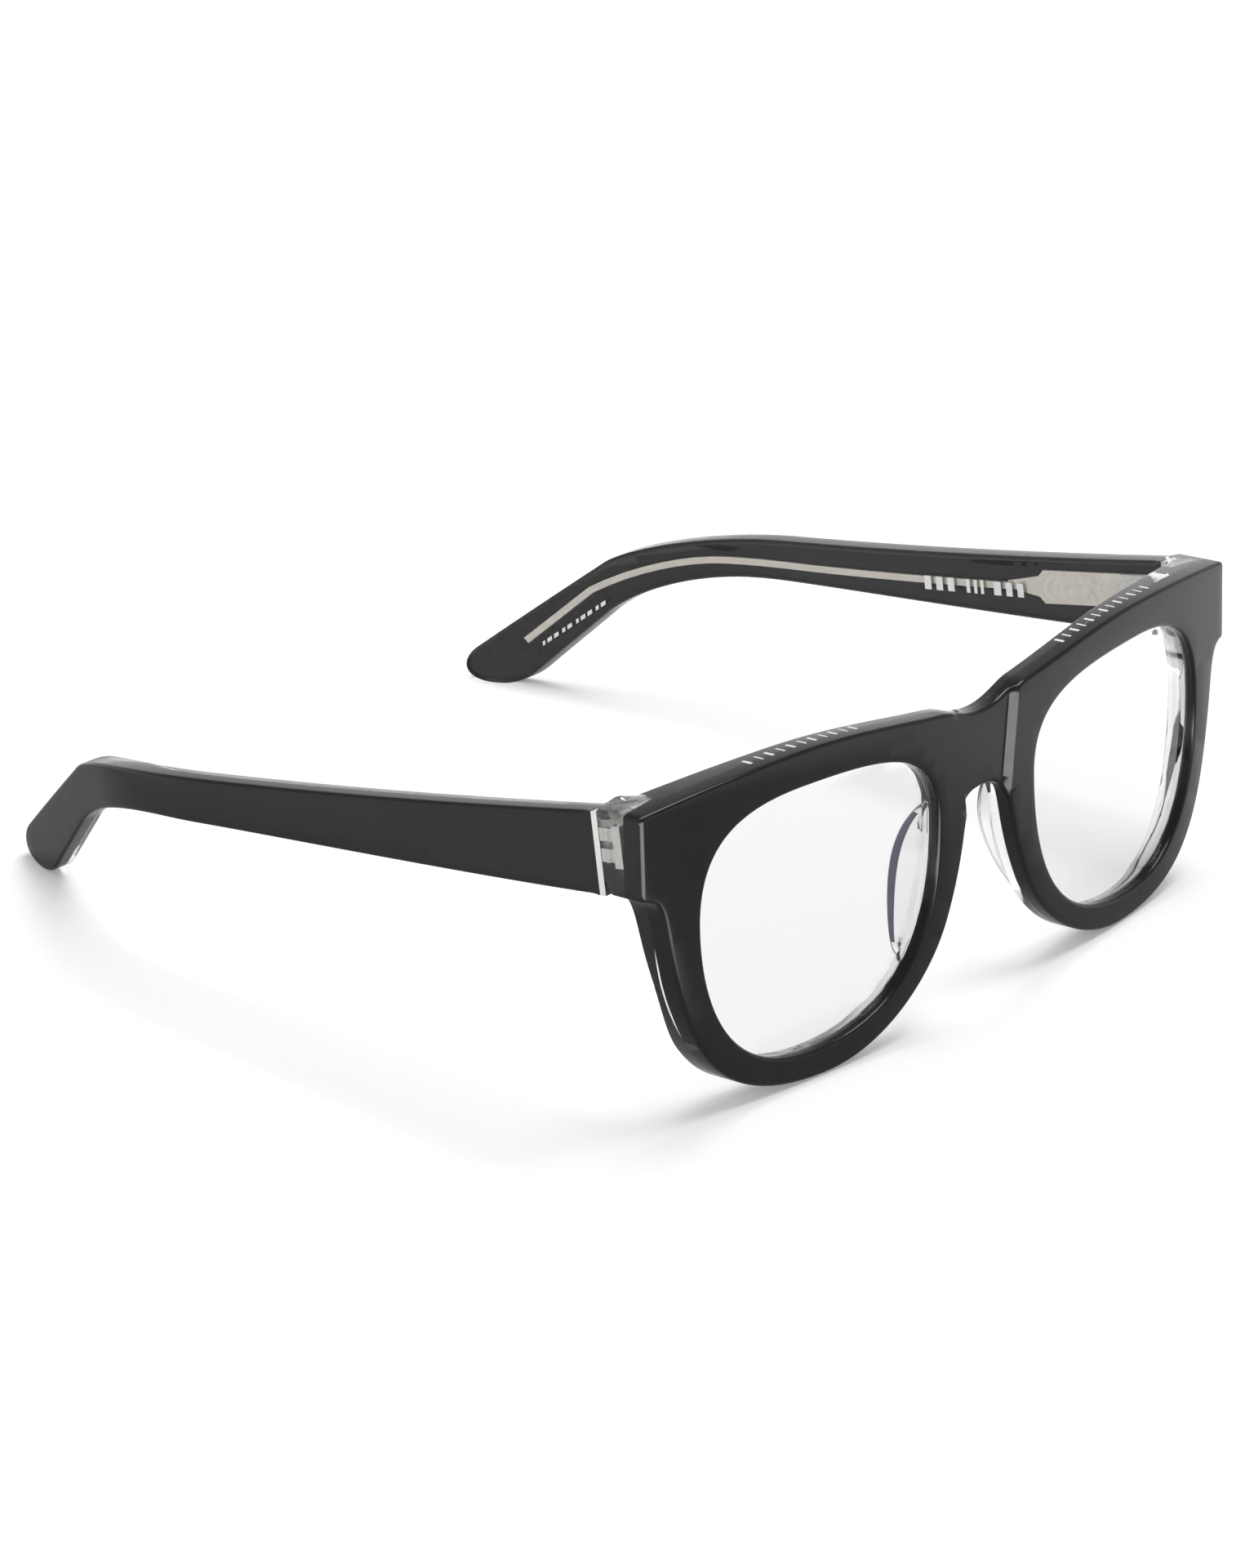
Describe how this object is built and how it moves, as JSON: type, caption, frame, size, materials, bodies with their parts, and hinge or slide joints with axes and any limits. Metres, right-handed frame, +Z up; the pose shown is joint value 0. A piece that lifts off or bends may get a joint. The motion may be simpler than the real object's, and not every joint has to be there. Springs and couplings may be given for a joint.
{
  "type": "eyeglasses",
  "caption": "Folding eyeglasses: laminated acetate front with a saddle bridge, glued-in lenses, nose pads, and wire-core temples on screwed barrel hinges.",
  "frame": {"origin": "On the table plane, at the middle of the open glasses' footprint box.", "axes": "+Z up off the table as the glasses rest open on rims and temple tips; the front faces -Y and the temples run back along +Y; the wearer's left side is at +X."},
  "size_m": [0.143, 0.1422, 0.0488],
  "materials": {
    "black_acetate": "polished opaque black cellulose acetate sheet",
    "crystal_acetate": "polished clear cellulose acetate",
    "lens": "thin clear lens, polished both sides",
    "hinge_metal": "nickel silver, satin",
    "screw_steel": "small polished steel screw",
    "core_metal": "blasted nickel silver with a warm tone"
  },
  "bodies": {
    "front": {"front_black_layer": "black_acetate", "front_crystal_layer": "crystal_acetate", "right_lens": "lens", "left_lens": "lens", "right_nose_pad": "crystal_acetate", "left_nose_pad": "crystal_acetate", "right_front_hinge": "hinge_metal", "left_front_hinge": "hinge_metal", "right_hinge_screw": "screw_steel", "left_hinge_screw": "screw_steel"},
    "right_temple": {"right_temple_hinge": "hinge_metal", "right_temple_end_plate": "hinge_metal", "right_core_wire": "core_metal", "right_temple_black_layer": "black_acetate", "right_temple_crystal_layer": "crystal_acetate"},
    "left_temple": {"left_temple_hinge": "hinge_metal", "left_temple_end_plate": "hinge_metal", "left_core_wire": "core_metal", "left_temple_black_layer": "black_acetate", "left_temple_crystal_layer": "crystal_acetate"}
  },
  "joints": [
    {"name": "right_temple_hinge_pin", "type": "hinge", "parent": "front", "child": "right_temple", "pos_m": [-0.0643, -0.05369, 0.04037], "axis": [0, -0.1642, -0.9864], "range_deg": [0, 68]},
    {"name": "left_temple_hinge_pin", "type": "hinge", "parent": "front", "child": "left_temple", "pos_m": [0.0643, -0.05369, 0.04037], "axis": [0, 0.1642, 0.9864], "range_deg": [0, 84]}
  ]
}
